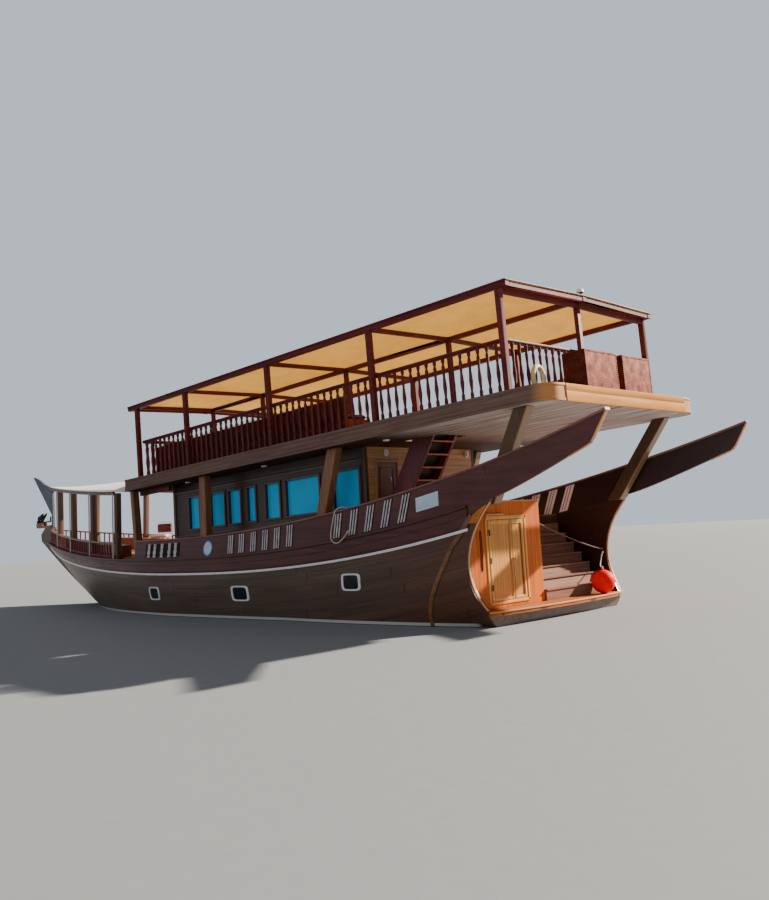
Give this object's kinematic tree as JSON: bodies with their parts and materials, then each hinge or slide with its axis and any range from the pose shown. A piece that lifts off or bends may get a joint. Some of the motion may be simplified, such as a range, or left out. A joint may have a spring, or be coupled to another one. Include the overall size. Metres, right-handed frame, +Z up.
{
  "type": "wooden passenger dhow, motor driven",
  "caption": "Wooden motor dhow with a raking stem, winged stern over a swim platform, windowed cabin, awning over the bow and canopied upper deck.",
  "frame": {"origin": "on the waterline, amidships, on the centreline", "axes": "+X forward to the bow, +Y to port, +Z up"},
  "size_m": [28.055, 5.662, 8.4643],
  "materials": {
    "hull": "painted dark brown planking, satin, with dark antifouling below the waterline",
    "rope": "cream laid rope",
    "black": "black painted iron",
    "wale": "painted plum brown planking, satin",
    "teak": "oiled deck planking",
    "varnish": "gloss orange varnish on wood",
    "mahogany": "dark red varnished wood",
    "timber": "varnished brown timber",
    "canvas": "tan woven canopy fabric",
    "white": "off-white canvas",
    "glass": "teal tinted window glass",
    "wicker": "woven dark red brown rattan",
    "cushion": "dark red upholstery",
    "bronze": "cast bronze",
    "steel": "stainless steel",
    "red": "bright red inflated vinyl"
  },
  "bodies": {
    "boat": {"hull": "hull", "hand_rope": "rope", "fender_rope": "rope", "side_rope": "rope", "anchor": "black", "bulwark_mid_port": "wale", "bulwark_mid_starboard": "wale", "bulwark_wing_port": "wale", "bulwark_wing_starboard": "wale", "wale_port": "wale", "wale_starboard": "wale", "main_deck": "teak", "swim_platform": "teak", "stern_stairs": "teak", "bow_bench_port": "varnish", "bow_bench_starboard": "varnish", "stern_cabinet": "varnish", "bow_rail_port": "mahogany", "bow_rail_starboard": "mahogany", "ladder": "mahogany", "balustrade_port": "mahogany", "balustrade_starboard": "mahogany", "balustrade_aft": "mahogany", "balustrade_front": "mahogany", "canopy_frame_port": "mahogany", "canopy_frame_starboard": "mahogany", "canopy_frame_centre": "mahogany", "stem_head": "timber", "bow_roller": "timber", "cabin_wall_port": "timber", "cabin_wall_starboard": "timber", "cabin_wall_aft": "timber", "cabin_wall_front": "timber", "upper_deck": "timber", "pillar_bow_port": "timber", "pillar_bow_starboard": "timber", "pillar_fore_port": "timber", "pillar_fore_starboard": "timber", "pillar_mid_port": "timber", "pillar_mid_starboard": "timber", "pillar_aft_port": "timber", "pillar_aft_starboard": "timber", "canopy_sheet": "canvas", "bow_awning": "white", "lifebuoy": "white", "cabin_glass_port": "glass", "cabin_glass_starboard": "glass", "cabin_glass_front": "glass", "wicker_box_port": "wicker", "wicker_box_starboard": "wicker", "sofa_port": "cushion", "sofa_starboard": "cushion", "roof_lamp": "steel", "fender": "red"},
    "propeller": {"propeller": "bronze"},
    "rudder": {"rudder": "hull"},
    "stern_door_port": {"stern_door_port": "timber"},
    "stern_door_starboard": {"stern_door_starboard": "timber"},
    "cabin_door": {"cabin_door": "timber"}
  },
  "joints": [
    {"name": "propeller_spin", "type": "hinge", "parent": "boat", "child": "propeller", "pos_m": [-9.99, 0, -1.13], "axis": [1, 0, 0], "continuous": true},
    {"name": "rudder_turn", "type": "hinge", "parent": "boat", "child": "rudder", "pos_m": [-10.65, 0, -1], "axis": [0, 0, 1], "range_deg": [-35, 35]},
    {"name": "stern_door_port_swing", "type": "hinge", "parent": "boat", "child": "stern_door_port", "pos_m": [-10.66, 1.867, 1.26], "axis": [0, 0, 1], "range_deg": [-100, 0]},
    {"name": "stern_door_starboard_swing", "type": "hinge", "parent": "boat", "child": "stern_door_starboard", "pos_m": [-10.66, 0.686, 1.26], "axis": [0, 0, 1], "range_deg": [0, 100]},
    {"name": "cabin_door_swing", "type": "hinge", "parent": "boat", "child": "cabin_door", "pos_m": [-7.26, 1.564, 2.7], "axis": [0, 0, 1], "range_deg": [0, 95]}
  ]
}
